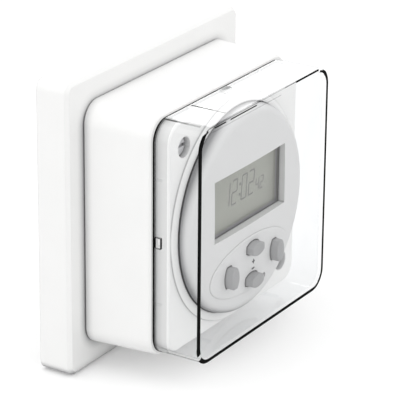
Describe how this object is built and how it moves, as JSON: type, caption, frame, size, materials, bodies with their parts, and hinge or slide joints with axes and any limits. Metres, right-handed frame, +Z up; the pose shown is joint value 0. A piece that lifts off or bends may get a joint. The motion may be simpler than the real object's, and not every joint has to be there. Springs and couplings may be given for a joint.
{
  "type": "timer light switch",
  "caption": "Square wall timer switch: wall plate, tapered housing, round face with a display window and keys, under a clear pull-off cover.",
  "frame": {"origin": "centre of the wall plate's back, on the wall's surface", "axes": "+X right and +Z up as seen from the room, +Y into the wall; the front faces -Y"},
  "size_m": [0.086, 0.0462, 0.086],
  "materials": {
    "white_shell": "fine satin",
    "pale_face": "matt, pale grey",
    "key_plastic": "matt, blue-grey",
    "clear_cover": "clear, polished",
    "clear_lens": "clear, polished",
    "display_cell": "liquid-crystal cell, grey-green",
    "black_plastic": "black, matt",
    "plunger_plastic": "pale, matt",
    "case_plastic": "grey, matt",
    "contact_rubber": "soft, striped",
    "board": "glass-fibre laminate, green",
    "relay_plastic": "moulded, blue",
    "film_box": "moulded, yellow",
    "can_metal": "drawn can",
    "limiter_coat": "dipped coating, blue",
    "fuse_plastic": "moulded, brown",
    "terminal_plastic": "moulded, off-white",
    "brass": "plain brass",
    "steel": "zinc-plated"
  },
  "bodies": {
    "base": {"wall_plate": "white_shell", "front_housing": "white_shell", "timer_face": "pale_face", "display_lens": "clear_lens", "display_glass": "display_cell", "display_holder": "black_plastic", "contact_strips": "contact_rubber", "key_switches": "black_plastic", "control_board": "board", "module_case": "case_plastic", "module_screws": "steel", "controller_chip": "black_plastic", "clock_crystal": "steel", "backup_battery": "steel", "battery_clip": "steel", "board_link": "black_plastic", "power_board": "board", "power_board_screws": "steel", "relay": "relay_plastic", "dropper_capacitor": "film_box", "smoothing_capacitors": "can_metal", "surge_limiter": "limiter_coat", "fuse": "fuse_plastic", "contact_blades": "brass", "terminal_block": "terminal_plastic", "terminal_cages": "brass", "terminal_screws": "steel", "terminal_block_screws": "steel", "threaded_inserts": "brass", "face_screws": "steel"},
    "cover": {"clear_cover": "clear_cover"},
    "reset": {"reset_button": "key_plastic"},
    "left_key_body": {"left_key": "key_plastic", "left_plunger": "plunger_plastic"},
    "right_key_body": {"right_key": "key_plastic", "right_plunger": "plunger_plastic"},
    "upper_key_body": {"upper_key": "key_plastic", "upper_plunger": "plunger_plastic"},
    "lower_key_body": {"lower_key": "key_plastic", "lower_plunger": "plunger_plastic"}
  },
  "joints": [
    {"name": "cover_pull", "type": "slide", "parent": "base", "child": "cover", "axis": [0, -1, 0], "range_m": [0, 0.03]},
    {"name": "left_key_press", "type": "slide", "parent": "base", "child": "left_key_body", "axis": [0, 1, 0], "range_m": [0, 0.0005], "stiffness_N_per_m": 800, "springref_m": -0.0005},
    {"name": "right_key_press", "type": "slide", "parent": "base", "child": "right_key_body", "axis": [0, 1, 0], "range_m": [0, 0.0005], "stiffness_N_per_m": 800, "springref_m": -0.0005},
    {"name": "upper_key_press", "type": "slide", "parent": "base", "child": "upper_key_body", "axis": [0, 1, 0], "range_m": [0, 0.0005], "stiffness_N_per_m": 800, "springref_m": -0.0005},
    {"name": "lower_key_press", "type": "slide", "parent": "base", "child": "lower_key_body", "axis": [0, 1, 0], "range_m": [0, 0.0005], "stiffness_N_per_m": 800, "springref_m": -0.0005},
    {"name": "reset_press", "type": "slide", "parent": "base", "child": "reset", "axis": [0, 1, 0], "range_m": [0, 0.0005], "stiffness_N_per_m": 600, "springref_m": -0.0005}
  ]
}
